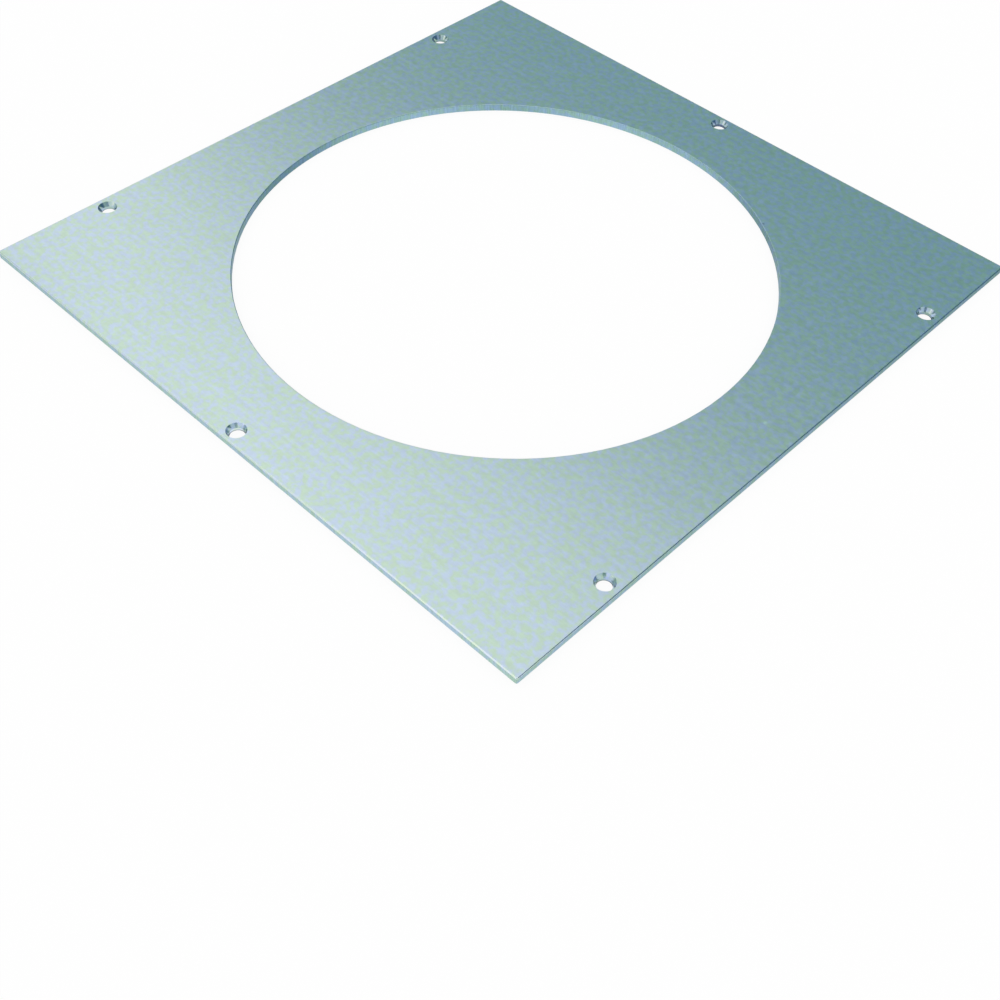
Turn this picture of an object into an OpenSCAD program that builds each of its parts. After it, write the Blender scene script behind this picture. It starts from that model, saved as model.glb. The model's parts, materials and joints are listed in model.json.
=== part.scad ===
// Cover plate for a floor box: a square steel plate with a large round opening for the
// service outlet and six countersunk holes, three on each of two opposite sides.
// The plate lies with its underside at height 0 and its centre on the Z axis.

/* [Plate] */
// Length of the sides that run along X
plate_x = 398; // [360:1:600]
// Length of the sides that run along Y
plate_y = 398; // [360:1:600]
// Thickness of the sheet
sheet_t = 4; // [3:0.5:8]
// Radius of the upright corners
corner_r = 1; // [1:0.1:6]
// Radius of the soft upper edge that the blanking press leaves along the sides
side_edge_r = 0.8; // [0.2:0.1:0.9]

/* [Outlet opening] */
// Diameter of the opening that the service outlet drops through
opening_d = 305; // [200:1:320]
// Radius of the soft upper edge around the opening
opening_edge_r = 0.4; // [0.2:0.1:1]

/* [Screw holes] */
// Diameter of the clearance hole for one countersunk screw
hole_d = 8; // [6:0.1:9]
// Diameter of the countersink at the upper face, as wide as the screw's head
sink_d = 10.8; // [9.6:0.1:12.4]
// Full angle of the countersink's cone
sink_angle = 60; // [60:1:100]
// Distance from the left and right sides in to the corner holes
side_inset = 8.5; // [7:0.1:12]
// Distance from the front and rear sides to the corner holes
corner_pitch = 66.5; // [30:0.5:90]
// Distance from the front and rear sides in to the middle holes
middle_inset = 7.5; // [6.6:0.1:12]

/* [Hidden] */

// Every cut runs this far past the face that it opens through
overrun = 1;
half_x = plate_x / 2;
half_y = plate_y / 2;
opening_r = opening_d / 2;
hole_r = hole_d / 2;
sink_r = sink_d / 2;
// Depth at which the cone meets the clearance hole
sink_depth = (sink_r - hole_r) / tan(sink_angle / 2);
// Fineness of the large opening and of the small rounds
fine = 180;
small = 48;

// Upright section of a sheet from one soft upper edge to the other, as wide as given
module sheet_section(width) {
    flat = width - 2 * side_edge_r;
    translate([-width / 2, 0])
        square([width, sheet_t - side_edge_r]);
    translate([-flat / 2, 0])
        square([flat, sheet_t]);
    for (side = [-1, 1])
        translate([side * flat / 2, sheet_t - side_edge_r])
            circle(r = side_edge_r, $fn = small);
}

// Sheet whose two long edges, a given width apart, are soft, running along Y
module sheet_run(width, length) {
    translate([0, length / 2, 0])
        rotate([90, 0, 0])
            linear_extrude(height = length)
                sheet_section(width);
}

// One upright corner with the soft upper edge carried round it
module corner_round() {
    rotate_extrude($fn = small)
        intersection() {
            sheet_section(2 * corner_r);
            square([corner_r, sheet_t]);
        }
}

// The blank as it leaves the press: both runs crossed, with a round at each corner
module blank() {
    sheet_run(plate_x, plate_y - 2 * corner_r);
    rotate([0, 0, 90])
        sheet_run(plate_y, plate_x - 2 * corner_r);
    for (sx = [-1, 1], sy = [-1, 1])
        translate([sx * (half_x - corner_r), sy * (half_y - corner_r), 0])
            corner_round();
}

// Cutter for the outlet opening: a bore whose mouth flares out to the soft upper edge
module opening_cut() {
    rotate_extrude($fn = fine)
        difference() {
            union() {
                translate([0, -overrun])
                    square([opening_r, sheet_t + 2 * overrun]);
                translate([0, sheet_t - opening_edge_r])
                    square([opening_r + opening_edge_r, opening_edge_r + overrun]);
            }
            translate([opening_r + opening_edge_r, sheet_t - opening_edge_r])
                circle(r = opening_edge_r, $fn = small);
        }
}

// Cutter for one screw hole: a bore with the countersink's cone above it
module screw_cut() {
    translate([0, 0, -overrun])
        cylinder(r = hole_r, h = sheet_t + 2 * overrun, $fn = small);
    translate([0, 0, sheet_t - sink_depth])
        cylinder(r1 = hole_r, r2 = sink_r, h = sink_depth, $fn = small);
    translate([0, 0, sheet_t])
        cylinder(r = sink_r, h = overrun, $fn = small);
}

// Places of the six holes, as [x, y] from the centre
corner_holes = [
    for (sx = [-1, 1], sy = [-1, 1])
        [sx * (half_x - side_inset), sy * (half_y - corner_pitch)]
];
middle_holes = [
    for (sy = [-1, 1])
        [0, sy * (half_y - middle_inset)]
];

module cover_plate() {
    color([0.66, 0.73, 0.74])
        difference() {
            blank();
            opening_cut();
            for (place = concat(corner_holes, middle_holes))
                translate([place[0], place[1], 0])
                    screw_cut();
        }
}

cover_plate();
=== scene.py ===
# %% [markdown]
# # A floor box cover plate
#
# The real object is one blanked square of zinc-coated steel sheet. It closes the top of a
# box in the floor, a round service outlet drops through its opening, and six countersunk
# screws hold it down. There is nothing to take apart, so this lesson is about a finish,
# a camera and a studio, and not about many pieces.

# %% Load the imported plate
import json
import math

import bpy
import numpy as np
from mathutils import Matrix, Vector


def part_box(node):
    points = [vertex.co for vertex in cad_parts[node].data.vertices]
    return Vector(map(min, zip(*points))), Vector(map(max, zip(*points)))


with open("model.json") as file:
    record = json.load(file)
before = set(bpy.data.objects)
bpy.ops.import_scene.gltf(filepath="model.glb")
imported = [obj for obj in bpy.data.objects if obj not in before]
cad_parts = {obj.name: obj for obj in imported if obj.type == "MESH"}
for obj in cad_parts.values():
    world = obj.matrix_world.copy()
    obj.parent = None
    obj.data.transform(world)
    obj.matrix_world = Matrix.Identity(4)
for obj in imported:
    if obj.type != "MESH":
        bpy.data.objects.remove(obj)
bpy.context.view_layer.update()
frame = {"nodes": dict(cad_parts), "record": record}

MM = 0.001
plate = frame["nodes"]["cover_plate"]
low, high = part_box("cover_plate")
print("plate", [round((b - a) / MM, 1) for a, b in zip(low, high)], "mm")

# %% [markdown]
# ## Sizes read from the plate
#
# The finish changes where a hole or a cut edge begins, so the material needs to know where
# those are. The numbers could be typed in again, but then the look would part from the
# solid when a size changes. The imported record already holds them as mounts, so they are
# read from there. Only the countersink's radius isn't among them.

# %% Hole places and radii
mounts = {m["name"]: m["dims"] for m in frame["record"]["mounts"]}
CORNER_X = mounts["corner_screws"]["spacing_x_mm"] / 2 * MM
CORNER_Y = mounts["corner_screws"]["spacing_y_mm"] / 2 * MM
MIDDLE_Y = mounts["middle_screws"]["spacing_y_mm"] / 2 * MM
OPENING_R = mounts["outlet_opening"]["r_mm"] * MM
HOLE_R = mounts["corner_screws"]["hole_r_mm"] * MM
SINK_R = 5.4 * MM
print("in metres: corner holes", CORNER_X, CORNER_Y, "middle holes", MIDDLE_Y, "opening radius", OPENING_R)

# %% [markdown]
# ## Camera
#
# The photograph looks down on the plate from its front right corner, from close by, so the
# near corner is much larger than the far one. A camera could be placed by eye, but the
# sides of a square give it away: where they meet on the picture fixes the height, the turn
# and the lens. The values below are those, written as a person would set up a tripod.

# %% Camera at the photograph's angle
VIEW_TURN = math.radians(41.84)       # round the plate from its front, towards its right side
VIEW_HEIGHT = math.radians(52.94)     # above the floor
VIEW_LEAN = math.radians(-2.90)       # the camera's own lean to one side
AIM = Vector((166.2, -171.8, 4.0)) * MM
REACH = 573.0 * MM                    # from the lens to the point that it is aimed at
LENS_MM = 46.12
SENSOR_MM = 36
SHIFT = (-0.0062, 0.1)                # how far the picture is slid sideways and up, in widths


def make_camera():
    """Stands REACH back from AIM along the view, with its sides level apart from the lean."""
    back = Vector((
        math.sin(VIEW_TURN) * math.cos(VIEW_HEIGHT),
        -math.cos(VIEW_TURN) * math.cos(VIEW_HEIGHT),
        math.sin(VIEW_HEIGHT),
    ))
    level = Vector((math.cos(VIEW_TURN), math.sin(VIEW_TURN), 0))
    rise = back.cross(level)
    right = math.cos(VIEW_LEAN) * level - math.sin(VIEW_LEAN) * rise
    up = math.cos(VIEW_LEAN) * rise + math.sin(VIEW_LEAN) * level
    data = bpy.data.cameras.new("camera")
    data.sensor_width = SENSOR_MM
    data.lens = LENS_MM
    data.shift_x, data.shift_y = SHIFT
    camera = bpy.data.objects.new("camera", data)
    turn = Matrix((right, up, back)).transposed().to_4x4()
    camera.matrix_world = Matrix.Translation(AIM + REACH * back) @ turn
    bpy.context.collection.objects.link(camera)
    return camera


bpy.context.scene.camera = make_camera()
print("camera at", [round(c / MM) for c in bpy.context.scene.camera.matrix_world.translation], "mm")

# %% [markdown]
# ## Node helpers
#
# A procedural finish is a small network of nodes. Placing each node by hand hides what the
# network says, so these helpers let a material be written as sums: every helper makes one
# node and returns the socket that carries its result.

# %% Helpers for material nodes
COLOUR_A, COLOUR_B, COLOUR_OUT = 6, 7, 2      # a Mix node's sockets when it mixes colours
NOISE_LOW, NOISE_HIGH = 0.25, 0.75            # nearly all noise lies between these


def feed(tree, socket, value):
    """Links value into socket if it is another socket, and otherwise sets it as a constant."""
    if isinstance(value, bpy.types.NodeSocket):
        tree.links.new(value, socket)
    else:
        socket.default_value = value


def work(tree, operation, *values):
    """One Math node: the result of operation on up to three numbers."""
    node = tree.nodes.new("ShaderNodeMath")
    node.operation = operation
    for socket, value in zip(node.inputs, values):
        feed(tree, socket, value)
    return node.outputs[0]


def mix(tree, share, first, second, kind="MIX"):
    """first at share 0 and second at share 1. kind can also multiply second into first."""
    node = tree.nodes.new("ShaderNodeMix")
    node.data_type = "RGBA"
    node.blend_type = kind
    feed(tree, node.inputs[0], share)
    feed(tree, node.inputs[COLOUR_A], first)
    feed(tree, node.inputs[COLOUR_B], second)
    return node.outputs[COLOUR_OUT]


def step(tree, value, start, end, before=0.0, after=1.0):
    """A soft step: before up to start, after from end on, and smooth between them."""
    node = tree.nodes.new("ShaderNodeMapRange")
    node.interpolation_type = "SMOOTHSTEP"
    if start > end:
        start, end, before, after = end, start, after, before
    names = ("Value", "From Min", "From Max", "To Min", "To Max")
    for name, number in zip(names, (value, start, end, before, after)):
        feed(tree, node.inputs[name], number)
    return node.outputs["Result"]


def noise(tree, place, size, detail=2.0):
    """Noise from 0 to 1 whose blotches measure about size = (x, y, z) in metres."""
    scale = tree.nodes.new("ShaderNodeMapping")
    scale.inputs["Scale"].default_value = [1 / s for s in size]
    feed(tree, scale.inputs["Vector"], place)
    node = tree.nodes.new("ShaderNodeTexNoise")
    node.inputs["Scale"].default_value = 1.0
    node.inputs["Detail"].default_value = detail
    feed(tree, node.inputs["Vector"], scale.outputs["Vector"])
    return node.outputs["Fac"]


def level(tree, share, first, second):
    """The number first at share 0 and second at share 1."""
    node = tree.nodes.new("ShaderNodeMapRange")
    for name, number in zip(("Value", "To Min", "To Max"), (share, first, second)):
        feed(tree, node.inputs[name], number)
    return node.outputs["Result"]


def grey(tree, shade):
    """A colour whose three parts are all shade."""
    node = tree.nodes.new("ShaderNodeCombineColor")
    for socket in node.inputs[:3]:
        feed(tree, socket, shade)
    return node.outputs[0]


def sway(tree, fac, amount):
    """A factor round 1 that follows noise, from 1 - amount to 1 + amount."""
    return step(tree, fac, NOISE_LOW, NOISE_HIGH, 1 - amount, 1 + amount)


# %% [markdown]
# ## Where the finish changes
#
# The sheet was coated first and cut afterwards, so it shows three surfaces: the coated face
# with its rolling grain, the sheared edges, and the turned countersinks. Separate materials
# on separate faces would need the mesh to be changed. Masks worked out from the place and
# the slope of the surface do the same on the plate as it is. The hole pattern is the same
# in all four quarters, so taking x and y without their signs folds six holes onto two.

# %% Masks for the holes and the cut edges
HOLE_ZONE = SINK_R + 0.1 * MM         # how far from a screw hole's centre its metal may lie
RIM_ZONE = OPENING_R + 1.5 * MM       # how far from the middle the opening's metal may lie
# The upright part of the normal is 1 on a level face and 0 on a wall. Each mask rises
# from the first value to the second.
TILTED = (0.99, 0.85)
WALL = (0.3, 0.1)


def distance(tree, x, y, at):
    """How far the point (x, y) lies from the centre at, in plan."""
    dx = work(tree, "SUBTRACT", x, at[0])
    dy = work(tree, "SUBTRACT", y, at[1])
    return work(tree, "SQRT", work(tree, "ADD", work(tree, "POWER", dx, 2), work(tree, "POWER", dy, 2)))


def to_nearest_hole(tree, folded_x, folded_y):
    """How far the folded point lies from the centre of the nearest screw hole."""
    corner = distance(tree, folded_x, folded_y, (CORNER_X, CORNER_Y))
    middle = distance(tree, folded_x, folded_y, (0.0, MIDDLE_Y))
    return work(tree, "MINIMUM", corner, middle)


def split(tree, place):
    """The three coordinates of a place, each as a socket."""
    axes = tree.nodes.new("ShaderNodeSeparateXYZ")
    feed(tree, axes.inputs[0], place)
    return axes.outputs["X"], axes.outputs["Y"], axes.outputs["Z"]


def masks(tree):
    """The surface's place, and the share of each kind of metal on it."""
    source = tree.nodes.new("ShaderNodeTexCoord")
    place = source.outputs["Object"]
    x, y, _ = split(tree, place)
    folded_x = work(tree, "ABSOLUTE", x)
    folded_y = work(tree, "ABSOLUTE", y)
    hole = to_nearest_hole(tree, folded_x, folded_y)
    in_hole = work(tree, "LESS_THAN", hole, HOLE_ZONE)
    centre = distance(tree, folded_x, folded_y, (0.0, 0.0))
    in_rim = work(tree, "LESS_THAN", centre, RIM_ZONE)
    outside = work(tree, "SUBTRACT", 1.0, work(tree, "ADD", in_hole, in_rim))
    upright = work(tree, "ABSOLUTE", split(tree, source.outputs["Normal"])[2])
    tilted = step(tree, upright, *TILTED)
    wall = step(tree, upright, *WALL)
    return place, {
        "turned": work(tree, "MULTIPLY", in_hole, tilted),
        # The wall of the opening; its colour below is partly cut metal and partly painted shade.
        "cut": work(tree, "MULTIPLY", in_rim, tilted),
        # The upper edges of the sides; their colour below is partly wear and partly a painted highlight.
        "worn_and_highlight": work(tree, "MULTIPLY", outside, tilted),
        "sheared": work(tree, "MULTIPLY", outside, wall),
    }


print("hole zone", round(HOLE_ZONE / MM, 1), "mm, rim zone", round(RIM_ZONE / MM, 1), "mm")

# %% [markdown]
# ## The coated steel
#
# Zinc-coated sheet is a satin metal. It gets a cool tint from the coating, long faint
# streaks from the rolls, which ran along X, soft mottling, and fine hairlines that raise
# and sink the surface a little. Its thin protective film is faintly blue and green in
# blotches, and the cut metal, dulled by the air, gets the same tints. A picture of metal
# could be wrapped round the plate, but noise stretched in plate coordinates keeps its
# scale at any distance and never repeats.

# %% Material of the plate
COATING = (0.665, 0.785, 0.778, 1)    # the coated face under white light
COATING_ROUGHNESS = 0.30
BLUISH = (0.97, 0.965, 1.17, 1)       # tints of the protective film, multiplied in
GREENISH = (0.96, 1.02, 0.84, 1)
METALS = {
    # kind: colour, roughness
    # The wall of the opening is darker than the sides partly as cut metal and partly as painted shade,
    # standing for the shade inside the opening.
    "cut": ((0.33, 0.51, 0.56, 1), 0.38),       # the opening's wall
    # The upper edges of the sides are lighter partly from rubbing and partly as a painted highlight along
    # the edge.
    "worn_and_highlight": ((0.84, 0.92, 0.89, 1), 0.22),      # the sides' upper edges, rubbed bright
    "sheared": ((0.43, 0.60, 0.61, 1), 0.38),   # the four sides
    "turned": ((0.68, 0.76, 0.80, 1), 0.16),    # the screw holes
}
# Each noise: its size along X, Y and Z in mm, and how fine its detail is
GRAIN = {
    "streaks": ((70, 2.6, 70), 3),
    "hairlines": ((18, 0.35, 18), 2),
    "mottle": ((3.8, 3.2, 3.8), 3),
    "blotches": ((3.3, 3.3, 3.3), 2),
    "tears": ((0.7, 0.7, 8), 2),
}
# How far a noise makes the shade or the roughness wander, as a share either way
SHADE_SWAY = {"streaks": 0.02, "mottle": 0.045, "hairlines": 0.02}
ROUGHNESS_SWAY = 0.08                 # with the mottle
TORN_SWAY = 0.10                      # with the tears, on the cut edges alone
BLUE_TO_GREEN = (0.36, 0.64)          # where the blotches turn from one tint to the other
STREAK_HEIGHT = 0.5                   # against the height of the hairlines
BUMP_STRENGTH = 0.15
BUMP_HEIGHT = 0.01 * MM
# Small marks on the coated face: x, y and radius in mm, and how much lighter or darker
MARKS = ((179.8, 1.5, 1.6, 1.22), (174.9, 91.5, 1.3, 1.12), (80.4, 130.8, 1.3, 0.6))


def coated_steel():
    """The whole plate's finish, with its masks, as one Principled shader."""
    material = bpy.data.materials.new("zinc_coated_steel")
    material.use_nodes = True
    tree = material.node_tree
    shader = tree.nodes["Principled BSDF"]
    place, shares = masks(tree)
    grain = {}
    for kind, (size, detail) in GRAIN.items():
        grain[kind] = noise(tree, place, [s * MM for s in size], detail)

    tint = mix(tree, step(tree, grain["blotches"], *BLUE_TO_GREEN), BLUISH, GREENISH)
    shade = 1.0
    for kind, amount in SHADE_SWAY.items():
        shade = work(tree, "MULTIPLY", shade, sway(tree, grain[kind], amount))
    across, along, _ = split(tree, place)
    for x, y, radius, strength in MARKS:
        away = distance(tree, across, along, (x * MM, y * MM))
        shade = work(tree, "MULTIPLY", shade, step(tree, away, radius * MM, 0.0, 1.0, strength))
    colour = mix(tree, 1.0, COATING, grey(tree, shade), "MULTIPLY")
    rough = work(tree, "MULTIPLY", sway(tree, grain["mottle"], ROUGHNESS_SWAY), COATING_ROUGHNESS)
    for kind, (metal, roughness) in METALS.items():
        colour = mix(tree, shares[kind], colour, metal)
        rough = level(tree, shares[kind], rough, roughness)
    edges = work(tree, "ADD", shares["cut"], shares["sheared"])
    torn = level(tree, edges, 1.0, sway(tree, grain["tears"], TORN_SWAY))
    colour = mix(tree, 1.0, colour, grey(tree, torn), "MULTIPLY")
    colour = mix(tree, 1.0, colour, tint, "MULTIPLY")
    feed(tree, shader.inputs["Base Color"], colour)
    feed(tree, shader.inputs["Roughness"], rough)
    shader.inputs["Metallic"].default_value = 1.0

    streaks = work(tree, "MULTIPLY", grain["streaks"], STREAK_HEIGHT)
    height = work(tree, "ADD", grain["hairlines"], streaks)
    bump = tree.nodes.new("ShaderNodeBump")
    bump.inputs["Strength"].default_value = BUMP_STRENGTH
    bump.inputs["Distance"].default_value = BUMP_HEIGHT
    feed(tree, bump.inputs["Height"], height)
    feed(tree, shader.inputs["Normal"], bump.outputs[0])
    return material


plate.material_slots[0].material = coated_steel()
print("material", plate.material_slots[0].material.name)

# %% [markdown]
# ## Floor
#
# The plate lies on a pale floor that photographs as white. More light would bleach the plate
# too, so the floor instead gives out part of its white to the rays from the camera, and
# keeps enough real shading to hold the plate's shadow. The metal doesn't mirror it, because
# the cards of the next steps stand for all that the metal shows. The floor is a disc: rings
# of points, each turned round the middle.

# %% A round white floor
FLOOR_R = 4.0
FLOOR_WHITE = (0.94, 0.94, 0.94, 1)
FLOOR_GLOW = 0.9                      # share of the floor's white that is steady


def ring_quads(rings, around, first=0):
    """Faces between each ring of points and the next, where ring k starts at first + k * around."""
    turn = np.arange(around)
    turn_on = (turn + 1) % around
    start = first + around * np.arange(rings - 1)[:, None]
    corners = (start + turn, start + around + turn, start + around + turn_on, start + turn_on)
    return np.stack(corners, -1).reshape(-1, 4).tolist()


def disc(name, radius, rings, around):
    """Points at (r cos a, r sin a, 0) for r and a on a grid of rings by around."""
    r = np.linspace(0, radius, rings)[1:, None]
    a = np.linspace(0, 2 * np.pi, around, endpoint=False)[None, :]
    grid = np.stack([r * np.cos(a), r * np.sin(a), 0 * r * a], -1).reshape(-1, 3)
    points = np.vstack([[0, 0, 0], grid])
    middle = [(0, 1 + i, 1 + (i + 1) % around) for i in range(around)]
    mesh = bpy.data.meshes.new(name)
    mesh.from_pydata(points.tolist(), [], middle + ring_quads(rings - 1, around, first=1))
    mesh.update()
    made = bpy.data.objects.new(name, mesh)
    bpy.context.collection.objects.link(made)
    return made


def white_floor():
    """Diffuse white, with a steady share of plain white for the camera's rays."""
    material = bpy.data.materials.new("white_floor")
    material.use_nodes = True
    tree = material.node_tree
    shader = tree.nodes["Principled BSDF"]
    shader.inputs["Base Color"].default_value = FLOOR_WHITE
    shader.inputs["Roughness"].default_value = 1.0
    shader.inputs["Specular IOR Level"].default_value = 0.0
    glow = tree.nodes.new("ShaderNodeEmission")
    from_camera = tree.nodes.new("ShaderNodeLightPath").outputs["Is Camera Ray"]
    join = tree.nodes.new("ShaderNodeMixShader")
    feed(tree, join.inputs[0], work(tree, "MULTIPLY", from_camera, FLOOR_GLOW))
    tree.links.new(shader.outputs[0], join.inputs[1])
    tree.links.new(glow.outputs[0], join.inputs[2])
    tree.links.new(join.outputs[0], tree.nodes["Material Output"].inputs["Surface"])
    return material


floor = disc("floor", FLOOR_R, rings=6, around=96)
floor.data.materials.append(white_floor())
floor.visible_glossy = False
print("floor", len(floor.data.polygons), "faces")

# %% [markdown]
# ## Studio
#
# Bare metal mostly shows the studio round it. White on all sides lights the plate evenly,
# and cards that only reflections see give it the fall from light to dark. The cards could
# be lamps, but a card's shade is what the metal shows, so it can be set straight from the
# tone that the plate should have.

# %% White surroundings
world = bpy.data.worlds.new("studio")
bpy.context.scene.world = world
world.use_nodes = True
sky = world.node_tree.nodes["Background"]
sky.inputs["Color"].default_value = (1, 1, 1, 1)
sky.inputs["Strength"].default_value = 1.0
print("world", world.name)

# %% [markdown]
# ## Pieces that only reflections see
#
# In a real studio a card close to the plate also blocks light and gets in the picture.
# Blender can show a piece to mirrored rays alone, so the cards here shade the metal and
# nothing else. They give out a steady light and take none, so their shade stays as written.

# %% Helpers for things that only reflections see
def reflected_only(name, points, faces, material):
    """A stage piece that the camera, shadows and plain light pass by."""
    mesh = bpy.data.meshes.new(name)
    mesh.from_pydata(points, [], faces)
    mesh.materials.append(material)
    made = bpy.data.objects.new(name, mesh)
    bpy.context.collection.objects.link(made)
    made.visible_camera = False
    made.visible_diffuse = False
    made.visible_shadow = False
    made.visible_transmission = False
    print(name, len(faces), "faces")
    return made


def paint(name, shade, ramps=(), window=None):
    """Steady light of one shade, or of the shade that a function of tree and place gives.

    Each ramp (axis, start, end, other) turns it to other along axis 0, 1 or 2. Where window,
    a function of the tree and the place, falls to 0, the paint is clear.
    """
    material = bpy.data.materials.new(name)
    material.use_nodes = True
    tree = material.node_tree
    tree.nodes.remove(tree.nodes["Principled BSDF"])
    place = tree.nodes.new("ShaderNodeTexCoord").outputs["Object"]
    axes = split(tree, place)
    colour = shade(tree, place) if callable(shade) else shade
    for axis, start, end, other in ramps:
        colour = mix(tree, step(tree, axes[axis], start, end), colour, other)
    light = tree.nodes.new("ShaderNodeEmission")
    feed(tree, light.inputs["Color"], colour)
    look = light.outputs[0]
    if window:
        join = tree.nodes.new("ShaderNodeMixShader")
        feed(tree, join.inputs[0], window(tree, place))
        tree.links.new(tree.nodes.new("ShaderNodeBsdfTransparent").outputs[0], join.inputs[1])
        tree.links.new(look, join.inputs[2])
        look = join.outputs[0]
    tree.links.new(look, tree.nodes["Material Output"].inputs["Surface"])
    return material


# %% [markdown]
# ## What the flat face mirrors
#
# The flat face mirrors the space behind the plate. On the photograph it falls from nearly
# white at the near corner to a deep grey blue at the far right, and it is darkest in one
# broad band. One large card does this: cool grey in the middle, paler at its foot, and
# white towards its top, where the near corner looks.

# %% The large dark card behind the plate
def card(name, bearing, away, spans, shade, ramps):
    """An upright card, square to the line at bearing degrees from the plate's middle.

    Its corners are that line's end plus the spans, in metres: left, right, down and up, as
    seen from the plate.
    """
    b = math.radians(bearing)
    out = np.array([math.cos(b), math.sin(b), 0])
    side = np.array([math.sin(b), -math.cos(b), 0])
    rise = np.array([0, 0, 1])
    left, right, down, up = spans
    ends = ((-left, -down), (right, -down), (right, up), (-left, up))
    corners = [out * away + side * x + rise * y for x, y in ends]
    return reflected_only(name, corners, [(0, 1, 2, 3)], paint(name, shade, ramps))


WHITE = (1, 1, 1, 1)
LIGHT_GREY = (0.75, 0.77, 0.78, 1)
card(
    "back_card",
    bearing=83,
    away=4.0,
    spans=(11, 4.77, 8.5, 9.0),
    shade=(0.19, 0.33, 0.375, 1),
    ramps=[(2, 4.0, 8.3, WHITE), (2, -1.6, -3.4, LIGHT_GREY)],
)


# %% [markdown]
# ## What the edges and the holes mirror
#
# An edge or a countersink turns through many slopes within a few millimetres, so each one
# mirrors its own part of the room. A photographer hangs flags, cloths on frames, to draw
# dark lines along such edges. Each patch below is one: it spans a few bearings, counted
# from X towards Y, and a few heights above or below the plate. Its border is soft, since
# a hard one would show as a second line in the metal.

# %% Flags for the edges and the holes
FLAG_FACES = (16, 8)                  # faces of one flag, sideways and upwards


def flag(name, bearings, heights, away, shade, soft, ramps=()):
    """A patch of a sphere round the plate's middle, between two bearings and two heights.

    A point on it is away * (cos b cos h, sin b cos h, sin h). Inside each border its paint
    fades to clear over soft degrees: the first number counts sideways, the second upwards.
    """
    across, up = FLAG_FACES
    b = np.radians(np.linspace(*bearings, across + 1))[:, None]
    h = np.radians(np.linspace(*heights, up + 1))[None, :]
    grid = away * np.stack([np.cos(b) * np.cos(h), np.sin(b) * np.cos(h), np.sin(h) + 0 * b], -1)
    start = (up + 1) * np.arange(across)[:, None] + np.arange(up)
    quads = np.stack([start, start + up + 1, start + up + 2, start + 1], -1).reshape(-1, 4)
    middle = [math.radians(sum(pair) / 2) for pair in (bearings, heights)]
    half = [math.radians(abs(pair[1] - pair[0]) / 2) for pair in (bearings, heights)]
    fade = [math.radians(s) for s in soft]

    def window(tree, place):
        """1 well inside the patch, and 0 on its border."""
        turned = tree.nodes.new("ShaderNodeMapping")
        turned.inputs["Rotation"].default_value = (0, 0, -middle[0])
        feed(tree, turned.inputs["Vector"], place)
        x, y, z = split(tree, turned.outputs["Vector"])
        level_reach = distance(tree, x, y, (0.0, 0.0))
        sideways = work(tree, "ABSOLUTE", work(tree, "ARCTAN2", y, x))
        height = work(tree, "ARCTAN2", z, level_reach)
        upwards = work(tree, "ABSOLUTE", work(tree, "SUBTRACT", height, middle[1]))
        return work(
            tree,
            "MULTIPLY",
            step(tree, sideways, half[0], half[0] - fade[0]),
            step(tree, upwards, half[1], half[1] - fade[1]),
        )

    made = paint(name, shade, ramps, window)
    return reflected_only(name, grid.reshape(-1, 3).tolist(), quads.tolist(), made)


# Some flags turn to another shade along Y or Z: axis, from and to where in metres, shade
DARKER_BEHIND = [(1, 0.9, 1.6, (0.41, 0.49, 0.55, 1))]
GREYER_ABOVE = [(2, 0.75, 1.15, (0.26, 0.37, 0.43, 1))]
GREY_ABOVE = [(2, 0.90, 1.25, (0.44, 0.55, 0.64, 1))]
FLAGS = {
    # name: bearings and heights in degrees, distance in metres, shade, softness, ramps
    "left_near": ((186, 219), (0, 25), 0.8, (0.16, 0.26, 0.28, 1), (6, 5)),
    "right_edge": ((5, 72), (-22, 50), 2.0, (0.06, 0.13, 0.19, 1), (16, 10)),
    "right_edge_far": ((42, 76), (-31, 0), 2.05, (0.06, 0.13, 0.19, 1), (12, 10)),
    "right_low": ((35, 84), (-66, -27), 2.1, (0.58, 0.67, 0.72, 1), (7, 5), DARKER_BEHIND),
    "hole_left": ((60, 124), (-31, 18), 2.2, (0.08, 0.12, 0.13, 1), (8, 8)),
    "overhead": ((120, 214), (71, 82), 2.2, (0.30, 0.42, 0.56, 1), (14, 3)),
    "front_dark": ((304, 336), (-8, 12), 2.3, (0.15, 0.26, 0.26, 1), (6, 4)),
    "front_dark_mid": ((299, 334), (14, 25), 2.3, (0.12, 0.20, 0.22, 1), (6, 3)),
    "front_dark_high": ((302, 346), (28, 42), 2.3, (0.14, 0.22, 0.28, 1), (6, 3)),
    "hole_right": ((146, 206), (-27, 11), 2.5, (0.18, 0.25, 0.33, 1), (9, 10)),
    "front_grey": ((298, 382), (-4, 44), 2.6, (0.52, 0.63, 0.70, 1), (8, 8), GREYER_ABOVE),
    "front_light": ((250, 304), (-6, 42), 2.7, (0.74, 0.82, 0.88, 1), (10, 8), GREY_ABOVE),
    "left_side": ((158, 246), (-26, 46), 3.0, (0.66, 0.71, 0.76, 1), (14, 8)),
    "left_low": ((146, 207), (-60, -22), 3.1, (0.43, 0.49, 0.53, 1), (10, 6)),
    "left_front_low": ((222, 256), (-44, -18), 3.1, (0.78, 0.80, 0.84, 1), (8, 5)),
    "front_low": ((296, 332), (-56, -10), 3.2, (0.60, 0.65, 0.68, 1), (8, 8)),
}
for flag_name, settings in FLAGS.items():
    flag(flag_name, *settings)


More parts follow.
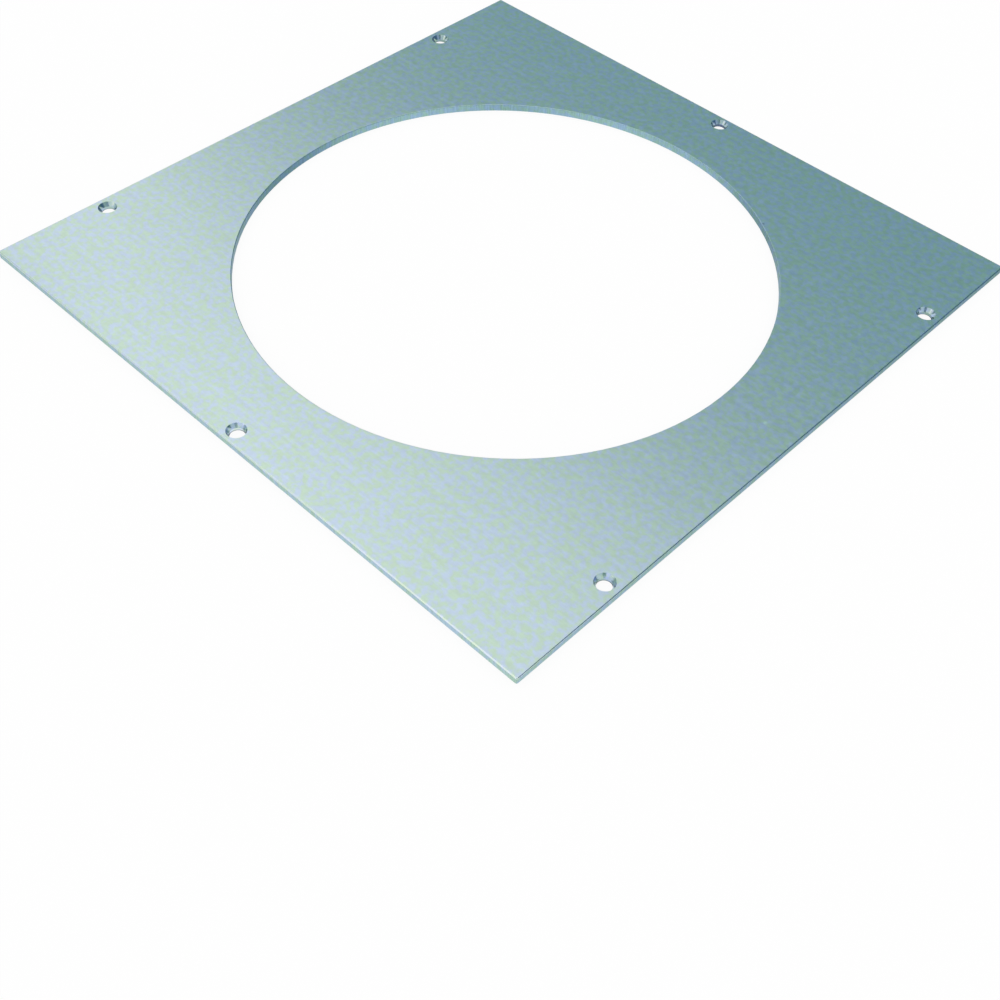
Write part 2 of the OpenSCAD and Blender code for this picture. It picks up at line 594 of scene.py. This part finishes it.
# %% [markdown]
# ## What the bores mirror
#
# The walls of a screw hole look down through it, onto the floor in the plate's own shade.
# Little light gets in there: some at the front, hardly any behind. The floor stays out of
# reflections, so a thin sheet under the plate stands for it, with a pale spot below each
# hole that grows dimmer from front to back.

# %% Shade beneath the plate
UNLIT = (0.05, 0.07, 0.10, 1)
LIT_IN_FRONT = (0.95, 0.97, 0.99, 1)
# Each further turn of the light: from and to which Y in mm, and the light reached there
LIT_BY_DEPTH = [
    (-185, -140, (0.58, 0.68, 0.70, 1)),
    (-100, 100, (0.38, 0.48, 0.49, 1)),
    (140, 185, (0.16, 0.20, 0.27, 1)),
]
SPOT_SHARE = 0.82                     # share of a hole's radius that is fully lit
SHADE_GAP = 0.5 * MM                  # from the plate's edges in to the sheet's
SHADE_BELOW = 0.1 * MM                # from the plate's underside down to the sheet


def beneath(tree, place):
    """Dark beyond a screw hole's edge, and lit inside it, brightly at the front, dimly behind."""
    x, y, _ = split(tree, place)
    hole = to_nearest_hole(tree, work(tree, "ABSOLUTE", x), work(tree, "ABSOLUTE", y))
    lit = LIT_IN_FRONT
    for start, end, other in LIT_BY_DEPTH:
        lit = mix(tree, step(tree, y, start * MM, end * MM), lit, other)
    return mix(tree, step(tree, hole, HOLE_R, SPOT_SHARE * HOLE_R), UNLIT, lit)


def under_shade(rings, around):
    """A sheet from the opening's circle out to the plate's square, a hair under the plate.

    At each angle a the point runs from radius r to the square's edge, which lies at
    half / max(|cos a|, |sin a|) from the middle.
    """
    a = np.linspace(0, 2 * np.pi, around, endpoint=False)
    half = high[0] - SHADE_GAP
    inner = OPENING_R + SHADE_GAP
    edge = half / np.maximum(np.abs(np.cos(a)), np.abs(np.sin(a)))
    share = np.linspace(0, 1, rings)[:, None]
    r = inner + share * (edge - inner)
    points = np.stack([r * np.cos(a), r * np.sin(a), 0 * r - SHADE_BELOW], -1).reshape(-1, 3)
    faces = ring_quads(rings, around)
    return reflected_only("under_shade", points.tolist(), faces, paint("under_shade", beneath))


under_shade(rings=4, around=144)

# %% [markdown]
#
# Standard view keeps a written colour as it is.

# %% Finish
bpy.context.scene.view_settings.view_transform = "Standard"
